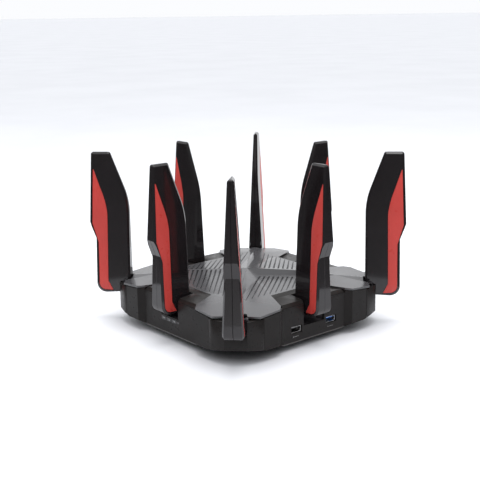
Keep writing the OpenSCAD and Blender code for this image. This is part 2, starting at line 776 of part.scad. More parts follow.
module blade_piece(piece) {
    if (piece == "shell_left") color(black) translate([0, 0.01, 0]) half_shell();
    if (piece == "shell_right") color(black) mirror([0, 1, 0]) translate([0, 0.01, 0]) half_shell();
    if (piece == "inlays") color(red) for (m = [0, 1]) mirror([0, m, 0]) inlay();
    if (piece == "radiator") color("darkgreen") radiator_board();
}

bottom_case();
side_frame();
corner_bumpers();
side_tabs();
top_cover();
status_light();
main_board();
heat_sink();
thermal_pads();
shield_cans();
lan_sockets();
wan_socket();
usb_shells();
usb_tongues();
power_jack();
power_button();
reset_button();
wifi_key();
pairing_key();
light_key();
tact_switches();
rubber_feet();
case_screws();
board_screws();
antenna_sockets();
hinge_pins();
antenna_cables();
rating_plate();
for (k = [0:3], p = PIECES) {
    rotate(90 * k - 90) translate([side_tip, 0, 0]) blade_piece(p);
    rotate(90 * k - 45) translate([corner_tip, 0, 0]) blade_piece(p);
}
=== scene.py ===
import math
import bmesh
import bpy
from mathutils import Matrix, Vector
from mathutils.geometry import delaunay_2d_cdt


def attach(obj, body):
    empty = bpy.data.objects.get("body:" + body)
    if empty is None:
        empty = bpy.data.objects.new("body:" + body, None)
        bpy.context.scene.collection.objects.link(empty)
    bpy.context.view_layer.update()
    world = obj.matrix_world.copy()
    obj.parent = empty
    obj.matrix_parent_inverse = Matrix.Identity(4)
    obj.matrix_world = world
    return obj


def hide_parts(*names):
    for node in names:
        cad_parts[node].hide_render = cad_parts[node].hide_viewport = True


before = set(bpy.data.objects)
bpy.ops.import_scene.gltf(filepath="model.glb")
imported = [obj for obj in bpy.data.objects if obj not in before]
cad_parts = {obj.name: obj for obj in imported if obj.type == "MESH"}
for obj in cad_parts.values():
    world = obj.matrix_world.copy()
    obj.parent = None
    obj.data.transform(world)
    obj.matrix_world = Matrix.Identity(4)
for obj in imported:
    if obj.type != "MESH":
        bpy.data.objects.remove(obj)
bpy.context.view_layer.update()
MM = 0.001
ROOT_2 = math.sqrt(2)

# The object's own sizes, in mm, as the CAD part has them.
SIDE_X, SIDE_HALF, WALL_LOW = 103.3, 42.9, 8.5
BASTION_X, BASTION_FROM, BASTION_TO = 108.8, 49.8, 76.1
NOSE_R, NOSE_HALF = 137.4, 11.3
COVER_T, PEAK_Z, TAB_Z, TAB_HALF, TAB_IN = 2.0, 58.0, 48.5, 31.0, 73.5
TIP_H, PIN_IN, PIN_Z = 184.0, 32.3, 44.0
SIDE_TIP, CORNER_TIP = 120.0, 164.1
SIDE_PIN, CORNER_PIN = SIDE_TIP - PIN_IN, CORNER_TIP - PIN_IN
EDGE_W, EDGE_D = 2.1, 1.7
USB_Y, USB_MARK_Z = 24.0, 13.6
KEY_MID, KEY_PITCH, KEY_Z, KEY_PROUD = -1.0, 8.95, 22.7, 0.25
MARK_T = 0.05
ANTENNAS = {"front": -90, "right": 0, "back": 90, "left": 180, "front_right": -45,
            "back_right": 45, "back_left": 135, "front_left": 225}


# --- materials ------------------------------------------------------------------
class Nodes:
    """A material's node tree, with short calls for the nodes used below."""

    def __init__(self, name):
        self.material = bpy.data.materials.new(name)
        self.material.use_nodes = True
        self.tree = self.material.node_tree
        self.shader = self.tree.nodes["Principled BSDF"]
        self.coords = self.tree.nodes.new("ShaderNodeTexCoord").outputs["Object"]

    def new(self, kind, **settings):
        n = self.tree.nodes.new(kind)
        for key, value in settings.items():
            setattr(n, key, value)
        return n

    def link(self, a, b):
        self.tree.links.new(a, b)

    def noise(self, scale, detail=3, rough=0.5, stretch=None):
        n = self.new("ShaderNodeTexNoise")
        n.inputs["Scale"].default_value = scale
        n.inputs["Detail"].default_value = detail
        n.inputs["Roughness"].default_value = rough
        if stretch:
            m = self.new("ShaderNodeMapping")
            m.inputs["Scale"].default_value = stretch
            self.link(self.coords, m.inputs["Vector"])
            self.link(m.outputs["Vector"], n.inputs["Vector"])
        else:
            self.link(self.coords, n.inputs["Vector"])
        return n.outputs["Fac"]

    def ramp(self, source, low, high, a=0.35, b=0.65):
        n = self.new("ShaderNodeMapRange")
        n.inputs["From Min"].default_value = a
        n.inputs["From Max"].default_value = b
        n.inputs["To Min"].default_value = low
        n.inputs["To Max"].default_value = high
        self.link(source, n.inputs["Value"])
        return n.outputs["Result"]

    def tint(self, source, c0, c1):
        n = self.new("ShaderNodeMix", data_type="RGBA")
        n.inputs["A"].default_value = (*c0, 1)
        n.inputs["B"].default_value = (*c1, 1)
        self.link(source, n.inputs["Factor"])
        return n.outputs["Result"]

    def bump(self, heights, strength=0.3, distance=0.0001):
        normal = None
        for h, d in heights:
            n = self.new("ShaderNodeBump")
            n.inputs["Strength"].default_value = strength
            n.inputs["Distance"].default_value = d * distance
            self.link(h, n.inputs["Height"])
            if normal:
                self.link(normal, n.inputs["Normal"])
            normal = n.outputs["Normal"]
        self.link(normal, self.shader.inputs["Normal"])


def moulded(name, colour, rough, grain=1400, depth=1.0, vary=0.12, spec=0.5, coat=0.0,
            rough_vary=0.06):
    """Moulded plastic: fine spark grain, faint flow shading and uneven gloss."""
    n = Nodes(name)
    broad = n.noise(28, 4, 0.6)
    fine = n.noise(grain, 2, 0.6)
    mid = n.noise(170, 4, 0.65)
    dark = [c * (1 - vary) for c in colour]
    light = [c * (1 + vary) for c in colour]
    n.link(n.tint(n.ramp(broad, 0, 1), dark, light), n.shader.inputs["Base Color"])
    n.link(n.ramp(mid, rough - rough_vary, rough + rough_vary), n.shader.inputs["Roughness"])
    n.shader.inputs["Specular IOR Level"].default_value = spec
    n.shader.inputs["Coat Weight"].default_value = coat
    n.shader.inputs["Coat Roughness"].default_value = 0.06
    n.bump([(fine, depth), (mid, depth * 0.5)], 0.3, 0.00005)
    return n.material


def metal(name, colour, rough, stretch=(40, 40, 900), vary=0.1):
    """Rolled or plated metal with fine directional scratches."""
    n = Nodes(name)
    lines = n.noise(3, 6, 0.7, stretch)
    stain = n.noise(60, 4, 0.6)
    dark = [c * (1 - vary) for c in colour]
    n.link(n.tint(n.ramp(stain, 0, 1), dark, colour), n.shader.inputs["Base Color"])
    n.link(n.ramp(lines, rough * 0.75, rough * 1.3), n.shader.inputs["Roughness"])
    n.shader.inputs["Metallic"].default_value = 1.0
    n.bump([(lines, 1.0)], 0.25, 0.00004)
    return n.material


def board(name, mask):
    """A circuit board: solder mask over a grid of copper tracks, with pale dots."""
    n = Nodes(name)
    brick = n.new("ShaderNodeTexBrick")
    brick.inputs["Scale"].default_value = 210
    brick.inputs["Mortar Size"].default_value = 0.05
    brick.inputs["Color1"].default_value = (0.75, 0.75, 0.75, 1)
    brick.inputs["Color2"].default_value = (0.35, 0.35, 0.35, 1)
    brick.inputs["Mortar"].default_value = (0, 0, 0, 1)
    n.link(n.coords, brick.inputs["Vector"])
    light = [c * 1.7 for c in mask]
    n.link(n.tint(brick.outputs["Color"], mask, light), n.shader.inputs["Base Color"])
    n.link(n.ramp(n.noise(90), 0.28, 0.42), n.shader.inputs["Roughness"])
    n.bump([(brick.outputs["Color"], 0.5)], 0.3, 0.00008)
    return n.material


def rubber(name, colour):
    n = Nodes(name)
    fine = n.noise(900, 4, 0.7)
    n.link(n.tint(n.ramp(n.noise(60), 0, 1), [c * 0.8 for c in colour],
                  [c * 1.25 for c in colour]), n.shader.inputs["Base Color"])
    n.link(n.ramp(fine, 0.7, 0.88), n.shader.inputs["Roughness"])
    n.shader.inputs["Specular IOR Level"].default_value = 0.3
    n.bump([(fine, 1.2)], 0.4, 0.0001)
    return n.material


CASE = moulded("case_satin", (0.0165, 0.0145, 0.0138), 0.33, 1500, 0.3, spec=0.13)
BUMPER = moulded("bumper_satin", (0.0175, 0.0155, 0.0148), 0.3, 1500, 0.3, spec=0.16)
COVER = moulded("cover_satin", (0.064, 0.063, 0.067), 0.24, 1700, 0.25, vary=0.05, spec=0.6,
                rough_vary=0.02)
BLADE = moulded("blade_gloss", (0.0135, 0.011, 0.012), 0.07, 1500, 0.08, spec=0.5,
                rough_vary=0.02)
INLAY = moulded("inlay_red", (0.60, 0.062, 0.052), 0.33, 1500, 0.5, vary=0.05, spec=0.35)
# The lip's pale colour, several times the case's, is a painted highlight: the floor's light
# caught along the walls' bottom edge.
LIP_HIGHLIGHT = moulded("lip_painted_highlight", (0.1, 0.095, 0.09), 0.25, 1400, 0.3, spec=0.5)
KEYS = moulded("key_gloss", (0.018, 0.018, 0.02), 0.16, 1200, 0.3)
# The sockets' base colour is raised well above the case's, a painted fill light: it stands for
# light bounced into the shaded bays.
DARK = moulded("socket_painted_fill_light", (0.045, 0.041, 0.046), 0.5, 1300, 1.0, spec=0.3)
SWITCH = moulded("switch_plastic", (0.03, 0.03, 0.032), 0.45)
JACK = moulded("jack_plastic", (0.016, 0.016, 0.017), 0.4)
TONGUE = moulded("tongue_plastic", (0.02, 0.17, 0.62), 0.3, 1200, 0.3, vary=0.06)
TONGUE_DARK = moulded("tongue_dark", (0.012, 0.012, 0.013), 0.35, 1200, 0.3)
MARK = moulded("mark_ink", (0.5, 0.5, 0.5), 0.5, 2200, 0.4, vary=0.05)
LABEL = moulded("label_film", (0.55, 0.55, 0.56), 0.45, 1000, 0.4, vary=0.04)
CABLE = moulded("cable_jacket", (0.12, 0.12, 0.125), 0.4, 1600, 0.6)
PAD = rubber("thermal_pad", (0.3, 0.42, 0.52))
FOOT = rubber("foot_rubber", (0.018, 0.018, 0.018))
SMOKED = moulded("smoked_lens", (0.10, 0.10, 0.105), 0.12, 1200, 0.2, vary=0.03)
STEEL = metal("plated_steel", (0.72, 0.71, 0.7), 0.24)
CAN = metal("can_steel", (0.3, 0.3, 0.3), 0.5, (500, 40, 40))
PIN = metal("pin_black_oxide", (0.03, 0.03, 0.032), 0.4, (60, 60, 700))
SCREW = metal("screw_steel", (0.55, 0.55, 0.56), 0.3, (300, 300, 300))
SINK = metal("heat_sink_metal", (0.2, 0.2, 0.21), 0.5, (800, 40, 40))
BOARD = board("board_mask", (0.012, 0.085, 0.04))
RADIATOR = board("radiator_mask", (0.02, 0.1, 0.05))


# --- mesh helpers ---------------------------------------------------------------
CRISP = 25  # degrees: an edge past this is a hard one


def shade(o, angle):
    """Smooth shading, with every edge past the angle kept crisp."""
    bm = bmesh.new()
    bm.from_mesh(o.data)
    for e in bm.edges:
        e.smooth = len(e.link_faces) == 2 and e.calc_face_angle(0) < math.radians(angle)
    bm.to_mesh(o.data)
    bm.free()


def soften(o, width, angle=CRISP):
    """Rounds a piece's hard edges, as a mould does."""
    b = o.modifiers.new("soft", "BEVEL")
    b.width = width * MM
    b.segments = 2
    b.limit_method = "ANGLE"
    b.angle_limit = math.radians(angle)
    b.harden_normals = True
    b.use_clamp_overlap = True
    b.miter_outer = "MITER_ARC"


def new_piece(name, bm, mat, body, nodes=()):
    me = bpy.data.meshes.new(name)
    bm.normal_update()
    bm.to_mesh(me)
    bm.free()
    o = bpy.data.objects.new(name, me)
    bpy.context.scene.collection.objects.link(o)
    me.materials.append(mat)
    for f in me.polygons:
        f.use_smooth = True
    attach(o, body)
    if nodes:
        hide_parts(*nodes)
    return o


def lower_rim(bm):
    """The edges where an outer wall meets the underside."""
    out = []
    for e in bm.edges:
        if len(e.link_faces) != 2:
            continue
        for a, b in (e.link_faces, reversed(e.link_faces)):
            mid = (e.verts[0].co + e.verts[1].co) / 2
            if abs(a.normal.z) < 0.1 and b.normal.z < -0.5 and a.normal.dot(mid) > 0.05:
                out.append(e)
                break
    return out


def cad_form(node):
    """A CAD node's mesh, with the corners that its triangles share joined."""
    bm = bmesh.new()
    bm.from_mesh(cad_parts[node].data)
    bmesh.ops.remove_doubles(bm, verts=bm.verts, dist=2e-6)
    return bm


def merge_flat(bm):
    """Joins triangles that lie in one plane."""
    bmesh.ops.dissolve_limit(bm, angle_limit=math.radians(0.6), use_dissolve_boundaries=False,
                             verts=bm.verts, edges=bm.edges, delimit={"NORMAL"})


def refined(node, mat, body, width, rim=0.0):
    """A copy of a CAD node's form, which stands for it.

    Its edges are rounded by width. A width of 0 keeps the CAD's own triangles and sharp edges.
    """
    bm = cad_form(node)
    if width:
        merge_flat(bm)
    bmesh.ops.recalc_face_normals(bm, faces=bm.faces)
    if rim:
        bm.normal_update()
        bmesh.ops.bevel(bm, geom=lower_rim(bm), offset=rim * MM, segments=1, affect="EDGES",
                        clamp_overlap=True)
    o = new_piece(node + "_form", bm, mat, body, (node,))
    if width:
        soften(o, width)
    else:
        shade(o, CRISP)


def paint(node, mat):
    """Gives a CAD node's own mesh a material."""
    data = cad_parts[node].data
    data.materials.clear()
    data.materials.append(mat)


def inset(points, d):
    """An outline moved inwards by d."""
    out = []
    n = len(points)
    for i in range(n):
        p, q, r = (Vector(points[(i + k) % n]) for k in (-1, 0, 1))
        u, v = (q - p).normalized(), (r - q).normalized()
        a, b = Vector((-u.y, u.x)), Vector((-v.y, v.x))
        out.append(q + (a + b) * (d / (1 + a.dot(b))))
    return out


def arc(cx, cy, r, a0, a1, n):
    return [Vector((cx + r * math.cos(math.radians(a0 + (a1 - a0) * i / n)),
                    cy + r * math.sin(math.radians(a0 + (a1 - a0) * i / n))))
            for i in range(n + 1)]


def curve(p, q, s, n):
    p, q, s = Vector(p), Vector(q), Vector(s)
    return [p * (1 - t) ** 2 + q * (2 * t * (1 - t)) + s * t * t
            for t in (i / n for i in range(n + 1))]


def inside(p, poly):
    """Whether a point lies inside an outline."""
    hit = False
    n = len(poly)
    for i in range(n):
        a, b = poly[i], poly[(i + 1) % n]
        if (a[1] > p[1]) != (b[1] > p[1]) and \
                p[0] < (b[0] - a[0]) * (p[1] - a[1]) / (b[1] - a[1]) + a[0]:
            hit = not hit
    return hit


# --- top cover ------------------------------------------------------------------
TOP_SLOPE = 0.1123
EDGE_A = (BASTION_X + BASTION_FROM) / ROOT_2
EDGE_R = 129.5
BAY_BACK, BAY_HALF, SIDE_MOUTH, CORNER_MOUTH = 7.7, 9.8, 14.6, 10.9


def edge_height(a):
    return TAB_Z + 0.1 - TOP_SLOPE * (a - EDGE_A)


def rim(x, y):
    return (x, y, edge_height((x + y) / ROOT_2))


def at(r, off, z):
    return ((r - off) / ROOT_2, (r + off) / ROOT_2, z)


def quarter(k):
    wing = [(TAB_IN, TAB_HALF, 50.4),
            rim(SIDE_X - 0.4, TAB_HALF + 0.45 * (SIDE_X - TAB_IN) + 0.1),
            rim(BASTION_X - 0.5, BASTION_FROM + 0.3), rim(BASTION_X - 0.5, BASTION_TO),
            at(EDGE_R, -CORNER_MOUTH, edge_height(EDGE_R)),
            at(CORNER_PIN - BAY_BACK, -BAY_HALF, edge_height(CORNER_PIN - BAY_BACK))]
    ridge = [at(62, 0, 55.8), at(94, 0, 51.3), at(CORNER_PIN - BAY_BACK, 0, 49.2)]
    low = [at(12.5, -4.2, 50.9), at(62, -3, 50.9), (24, -9, 52), (46.7, -41, 51.8)]
    if k % 2:
        low[0] = at(12.5, -4.2, 56.5)
        low[1] = at(62, -3, 51.2)
    pts = wing + ridge + [(y, x, z) for x, y, z in reversed(wing)] + low
    c, s = [(1, 0), (0, 1), (-1, 0), (0, -1)][k]
    return [(x * c - y * s, x * s + y * c, z) for x, y, z in pts]


def relief():
    points = [(0, 0, PEAK_Z)]
    for k in range(4):
        points += quarter(k)

    def v(k, i):
        return 1 + 19 * (k % 4) + i
    faces = []
    for k in range(4):
        for f in ((0, 1, 7), (1, 2, 7), (2, 3, 7), (3, 5, 7), (3, 4, 5), (5, 8, 7), (7, 8, 9),
                  (9, 11, 7), (9, 10, 11), (11, 12, 7), (12, 13, 7), (13, 14, 7), (16, 7, 6),
                  (16, 0, 7)):
            faces.append([v(k, i) for i in f])
        j = k - 1
        faces += [[0, v(k, 15), v(k, 16)], [0, v(k, 16), v(k, 6)],
                  [v(j, 6), v(j, 7), v(j, 14)] if k % 2 else [v(j, 6), v(j, 7), v(k, 18)],
                  [v(k, 15), v(j, 14), v(k, 0)], [v(k, 15), v(k, 0), v(k, 16)]]
        if k % 2:
            faces += [[0, v(j, 6), v(j, 14)], [0, v(j, 14), v(k, 15)]]
        else:
            faces += [[0, v(j, 6), v(k, 18)], [0, v(k, 18), v(k, 17)], [0, v(k, 17), v(k, 15)],
                      [v(k, 17), v(k, 18), v(j, 14)], [v(k, 18), v(j, 7), v(j, 14)],
                      [v(k, 15), v(k, 17), v(j, 14)]]
    return points, faces


def vent_rows():
    """Rows of holes that narrow from the ridge outwards, as (centre, along, length, width)."""
    holes = []
    for turn, flip, heading, first, start, reach in (
            (0, 1, -50.5, 14.6, 8.0, 70.5), (180, 1, -50.5, 14.6, 8.0, 70.5),
            (90, -1, -45, 13.4, 7.0, 72.5), (270, -1, -45, 13.4, 2.6, 69.5)):
        c, s = math.cos(math.radians(turn)), math.sin(math.radians(turn))
        dx, dy = math.cos(math.radians(heading)), math.sin(math.radians(heading))
        for i in range(16):
            r = first + i * 4.95
            px, py = (r + start) / ROOT_2, (r - start) / ROOT_2
            run = (reach - px) / dx
            if run < 5:
                continue
            t = 0.0
            while t < run:
                f = t / max(run, 1)
                w = 2.3 - 1.2 * f
                long = 2.6 - 1.1 * f
                if t + long > run:
                    break
                m = t + long / 2
                x, y = px + dx * m, (py + dy * m) * flip
                holes.append((Vector((x * c - y * s, x * s + y * c)),
                              Vector((dx * c - dy * flip * s, dx * s + dy * flip * c)), long, w))
                t += long + 0.75 + 0.35 * f
    return holes


def hole_outline(centre, along, long, wide):
    side = Vector((-along.y, along.x))
    h, w, b = long / 2, wide / 2, min(long, wide) * 0.26
    return [centre + along * x + side * y for x, y in (
        (h - b, -w), (h, -w + b), (h, w - b), (h - b, w),
        (-h + b, w), (-h, w - b), (-h, -w + b), (-h + b, -w))]


def build_cover():
    """The top sheet: the relief's facets with the vents and the bays' slots cut through."""
    pts, faces = relief()
    holes = [hole_outline(*h) for h in vent_rows()]
    coords = [Vector(p[:2]) for p in pts]
    edges = set()
    for f in faces:
        for i in range(3):
            e = (f[i], f[(i + 1) % 3])
            if (e[1], e[0]) not in edges:
                edges.add(e)
    edges = list(edges)
    # The bays' slots, whose plan is cut out of the sheet.
    cuts = []
    for k in range(4):
        for pin, end, mouth, a in ((SIDE_PIN, SIDE_X, SIDE_MOUTH, 90 * k),
                                   (CORNER_PIN, NOSE_R, CORNER_MOUTH, 90 * k + 45)):
            c, s = math.cos(math.radians(a)), math.sin(math.radians(a))
            reach = end - pin + 1
            cuts.append([Vector(((pin + x) * c - y * s, (pin + x) * s + y * c)) for x, y in (
                (-BAY_BACK, -BAY_HALF), (reach, -mouth), (reach, mouth), (-BAY_BACK, BAY_HALF))])
    loops = holes + cuts
    for loop in loops:
        n = len(coords)
        coords += loop
        edges += [(n + i, n + (i + 1) % len(loop)) for i in range(len(loop))]
    verts, _, tris, *_ = delaunay_2d_cdt(coords, edges, [], 0, 1e-6)
    tri_data = []
    for f in faces:
        a, b, c = (Vector(pts[i]) for i in f)
        n = (b - a).cross(c - a)
        box = (min(a.x, b.x, c.x), max(a.x, b.x, c.x), min(a.y, b.y, c.y), max(a.y, b.y, c.y))
        tri_data.append((a, b, c, n, box))

    def height(x, y):
        best, found = -1e9, None
        for a, b, c, n, box in tri_data:
            if not (box[0] - 0.01 <= x <= box[1] + 0.01 and box[2] - 0.01 <= y <= box[3] + 0.01):
                continue
            d = ((b.y - c.y) * (a.x - c.x) + (c.x - b.x) * (a.y - c.y))
            u = ((b.y - c.y) * (x - c.x) + (c.x - b.x) * (y - c.y)) / d
            w = ((c.y - a.y) * (x - c.x) + (a.x - c.x) * (y - c.y)) / d
            low = min(u, w, 1 - u - w)
            if low > best:
                best, found = low, a.z - (n.x * (x - a.x) + n.y * (y - a.y)) / n.z
        return found if best > -1e-4 else None
    hole_boxes = [(min(p.x for p in h), max(p.x for p in h), min(p.y for p in h),
                   max(p.y for p in h), h) for h in loops]
    heights = [height(p.x, p.y) for p in verts]
    bm = bmesh.new()
    top = [bm.verts.new((p.x * MM, p.y * MM, (z or 0) * MM)) for p, z in zip(verts, heights)]
    low = [bm.verts.new((p.x * MM, p.y * MM, ((z or 0) - COVER_T) * MM))
           for p, z in zip(verts, heights)]
    kept = []
    for t in tris:
        if any(heights[i] is None for i in t):
            continue
        x = sum(verts[i].x for i in t) / len(t)
        y = sum(verts[i].y for i in t) / len(t)
        if height(x, y) is None:
            continue
        if any(b[0] <= x <= b[1] and b[2] <= y <= b[3] and inside((x, y), b[4])
               for b in hole_boxes):
            continue
        kept.append(list(t))
    sides = {}
    for t in kept:
        for i in range(len(t)):
            sides[(t[i], t[(i + 1) % len(t)])] = True
    for t in kept:
        bm.faces.new([top[i] for i in t])
        bm.faces.new([low[i] for i in reversed(t)])
    for a, b in sides:
        if (b, a) not in sides:
            bm.faces.new([top[b], top[a], low[a], low[b]])
    loose = [v for v in bm.verts if not v.link_faces]
    bmesh.ops.delete(bm, geom=loose, context="VERTS")
    bmesh.ops.recalc_face_normals(bm, faces=bm.faces)
    return bm


cover = new_piece("cover_vented", build_cover(), COVER, "base", ("top_cover",))
shade(cover, 9)


# --- antennas -------------------------------------------------------------------
WAIST_Z = 93
SEAM_IN, SEAM_H, POCKET_D = 0.35, 0.3, 1.1


def half_at(x, z):
    """Half the blade's thickness at a point of its face."""
    return 3.2 + 0.0583 * x + 0.0501 * (TIP_H - z)


OUTLINE = ([Vector((-30.1, 32.2))] + arc(-11.9, 42.1, 10.5, -90, 2, 24)
           + [Vector((-2.4, WAIST_Z)), Vector((3.7, 109))]
           + arc(-2.5, TIP_H - 2.6, 2.6, 3, 90, 10) + arc(-18.1, TIP_H - 2.6, 2.6, 90, 160, 8)
           + curve((-33.9, 145.8), (-38.6, 133), (-38.5, 118), 16)
           + [Vector((-38.3, 100)), Vector((-38, 58))] + arc(-PIN_IN, PIN_Z, 5.6, 180, 235, 10))
RED = ([Vector((-2.4, 165.8)), Vector((-9.1, 145.5))]
       + curve((-9.1, 145.5), (-15.3, 128.5), (-15.5, 117), 12)[1:]
       + [Vector((-15.4, 110)), Vector((-14, 44.6)), Vector((-19.2, 34.2))]
       + arc(-11.9, 42.4, 7.7, -84, 8, 14) + [Vector((-4.85, 87.2)), Vector((1.1, 107.6)),
                                             Vector((-1.5, 165.6))])


def meet(p, u, q, v):
    return p + u * ((q - p).cross(v) / u.cross(v))


def chamfer_line(d):
    """The rim chamfer's inner line; the step between waist and lower edge has no chamfer."""
    out = inset(OUTLINE, d)
    k = next(i for i, p in enumerate(OUTLINE) if p.y == WAIST_Z)
    a, b = OUTLINE[k], OUTLINE[k + 1]
    out[k] = meet(out[k], a - OUTLINE[k - 1], a, b - a)
    out[k + 1] = meet(out[k + 1], OUTLINE[k + 2] - b, a, b - a)
    return out


def ring(bm, points, level):
    """A closed ring of vertices; level gives each one's height off the blade's middle plane."""
    return [bm.verts.new((p.x * MM, level(p) * MM, p.y * MM)) for p in points]


def bridge(bm, a, b):
    n = len(a)
    for i in range(n):
        j = (i + 1) % n
        bm.faces.new((a[i], b[i], b[j], a[j]))


def sheet_between(bm, outer, inner):
    """Fills the flat face between two rings."""
    pts = [Vector((v.co.x / MM, v.co.z / MM)) for v in outer + inner]
    n, m = len(outer), len(inner)
    edges = [(i, (i + 1) % n) for i in range(n)] + [(n + i, n + (i + 1) % m) for i in range(m)]
    verts, _, tris, origin, *_ = delaunay_2d_cdt(pts, edges, [], 0, 1e-7)
    all_v = outer + inner
    back = [all_v[o[0]] for o in origin]
    loop_o = [(v.co.x / MM, v.co.z / MM) for v in outer]
    loop_i = [(v.co.x / MM, v.co.z / MM) for v in inner]
    for t in tris:
        c = (sum(verts[i].x for i in t) / 3, sum(verts[i].y for i in t) / 3)
        if inside(c, loop_o) and not (m and inside(c, loop_i)):
            bm.faces.new([back[i] for i in t])


def blade_half(sign):
    """One shell half: parting seam, chamfered rim, slanting face and the inlay's pocket."""
    bm = bmesh.new()
    seam = ring(bm, inset(OUTLINE, SEAM_IN), lambda p: 0.01)
    side = ring(bm, OUTLINE, lambda p: SEAM_H)
    rim_ring = ring(bm, OUTLINE, lambda p: half_at(p.x, p.y) - EDGE_D)
    face = ring(bm, chamfer_line(EDGE_W), lambda p: half_at(p.x, p.y))
    pocket = ring(bm, inset(RED, -0.2), lambda p: half_at(p.x, p.y))
    deep = ring(bm, inset(RED, -0.15), lambda p: half_at(p.x, p.y) - POCKET_D)
    bridge(bm, seam, side)
    bridge(bm, side, rim_ring)
    bridge(bm, rim_ring, face)
    sheet_between(bm, face, pocket)
    bridge(bm, pocket, deep)
    sheet_between(bm, deep, [])
    sheet_between(bm, seam, [])
    if sign < 0:
        bmesh.ops.scale(bm, vec=(1, -1, 1), verts=bm.verts)
    bmesh.ops.recalc_face_normals(bm, faces=bm.faces)
    return bm


def red_half(sign):
    """The raised red inlay of one face, with a rounded rim."""
    bm = bmesh.new()
    rings = [ring(bm, inset(RED, d), lambda p, h=h: half_at(p.x, p.y) - h)
             for d, h in ((0.1, 1.08), (0.1, 0.3), (0.18, 0.16), (0.32, 0.1))]
    for a, b in zip(rings, rings[1:]):
        bridge(bm, a, b)
    sheet_between(bm, rings[-1], [])
    sheet_between(bm, rings[0], [])
    if sign < 0:
        bmesh.ops.scale(bm, vec=(1, -1, 1), verts=bm.verts)
    bmesh.ops.recalc_face_normals(bm, faces=bm.faces)
    return bm


for place, angle in ANTENNAS.items():
    tip = CORNER_TIP if "_" in place else SIDE_TIP
    move = Matrix.Rotation(math.radians(angle), 4, "Z") @ Matrix.Translation((tip * MM, 0, 0))
    body = "antenna_" + place
    for label, sign in (("left", 1), ("right", -1)):
        bm = blade_half(sign)
        bm.transform(move)
        o = new_piece(f"{body}_blade_{label}", bm, BLADE, body,
                      (f"{body}_shell_{label}",))
        soften(o, 0.3, 14)
    for sign in (1, -1):
        bm = red_half(sign)
        bm.transform(move)
        new_piece(f"{body}_red_{'left' if sign > 0 else 'right'}", bm, INLAY, body)
    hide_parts(f"{body}_inlays")
    paint(f"{body}_radiator", RADIATOR)

# --- body -----------------------------------------------------------------------
refined("side_frame", CASE, "base", 0)
refined("corner_bumpers", BUMPER, "base", 0.35, rim=0.8)
refined("side_tabs", CASE, "base", 0.4)
refined("bottom_case", CASE, "base", 0)
refined("usb_shells", STEEL, "base", 0.12)
refined("lan_sockets", STEEL, "base", 0.12)
refined("wan_socket", STEEL, "base", 0.12)
refined("power_jack", JACK, "base", 0.15)
refined("tact_switches", SWITCH, "base", 0.2)
refined("shield_cans", CAN, "base", 0.2)
refined("heat_sink", SINK, "base", 0.2)
refined("rubber_feet", FOOT, "base", 0.6)
refined("antenna_sockets", DARK, "base", 0.2)
for key in ("wifi_key", "pairing_key", "light_key", "power_button", "reset_button"):
    refined(key, KEYS, key + "_body", 0.18)
for node, mat in (("status_light", SMOKED), ("main_board", BOARD), ("thermal_pads", PAD),
                  ("case_screws", SCREW), ("board_screws", SCREW), ("hinge_pins", PIN),
                  ("antenna_cables", CABLE), ("rating_plate", LABEL)):
    paint(node, mat)


def side_lips():
    """The thin lip that runs along the foot of each recessed side; its pale colour is a painted
    highlight, the floor's light caught by the walls' bottom edge.
    """
    bm = bmesh.new()
    profile = [(-2.4, -0.9), (-0.5, -1.25), (-0.12, -1.1), (-0.02, -0.8), (-0.02, -0.1),
               (-0.2, 0.1), (-1.2, 0.2)]
    for k in range(4):
        turn = Matrix.Rotation(math.radians(90 * k), 4, "Z")
        rows = []
        for y, shrink in ((-SIDE_HALF + 0.1, 0.5), (-SIDE_HALF + 1, 1.0), (SIDE_HALF - 1, 1.0),
                          (SIDE_HALF - 0.1, 0.5)):
            rows.append([bm.verts.new(turn @ Vector((
                (SIDE_X - 1 + (u + 1) * shrink) * MM, y * MM,
                (WALL_LOW - 0.4 + (w + 0.4) * shrink) * MM))) for u, w in profile])
        for a, b in zip(rows, rows[1:]):
            bridge(bm, a, b)
        bm.faces.new(rows[0])
        bm.faces.new(rows[-1][::-1])
    bmesh.ops.recalc_face_normals(bm, faces=bm.faces)
    o = new_piece("side_lips", bm, LIP_HIGHLIGHT, "base")
    shade(o, 20)


side_lips()


def one_side(node, name, sign, mat, body, width):
    """The solids of a CAD node on one side of the middle, as a piece of its own."""
    bm = cad_form(node)
    bmesh.ops.delete(bm, geom=[v for v in bm.verts if v.co.y * sign < 0], context="VERTS")
    merge_flat(bm)
    o = new_piece(name, bm, mat, body)
    soften(o, width)
    return o


near_tongue = one_side("usb_tongues", "usb_tongue_near", -1, TONGUE_DARK, "base",
                       0.15)
far_tongue = one_side("usb_tongues", "usb_tongue_far", 1, TONGUE, "base",
                      0.15)
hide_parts("usb_tongues")


# --- small marks, all generic ------------------------------------------------------
def band(bm, cx, cy, r0, r1, a0, a1, n=20):
    """A flat ring sector, drawn in the XY plane, in mm, with a little thickness."""
    full = a1 - a0 >= 359.9
    steps = n if full else n + 1
    rows = []
    for i in range(steps):
        a = math.radians(a0 + (a1 - a0) * i / n)
        c, d = math.cos(a), math.sin(a)
        rows.append([bm.verts.new(((cx + r * c) * MM, (cy + r * d) * MM, h * MM))
                     for r, h in ((r0, 0), (r0, MARK_T), (r1, MARK_T), (r1, 0))])
    pairs = list(zip(rows, rows[1:])) + ([(rows[-1], rows[0])] if full else [])
    for a, b in pairs:
        for i in range(4):
            j = (i + 1) % 4
            bm.faces.new((a[i], a[j], b[j], b[i]))
    if not full:
        bm.faces.new(rows[0][::-1])
        bm.faces.new(rows[-1])


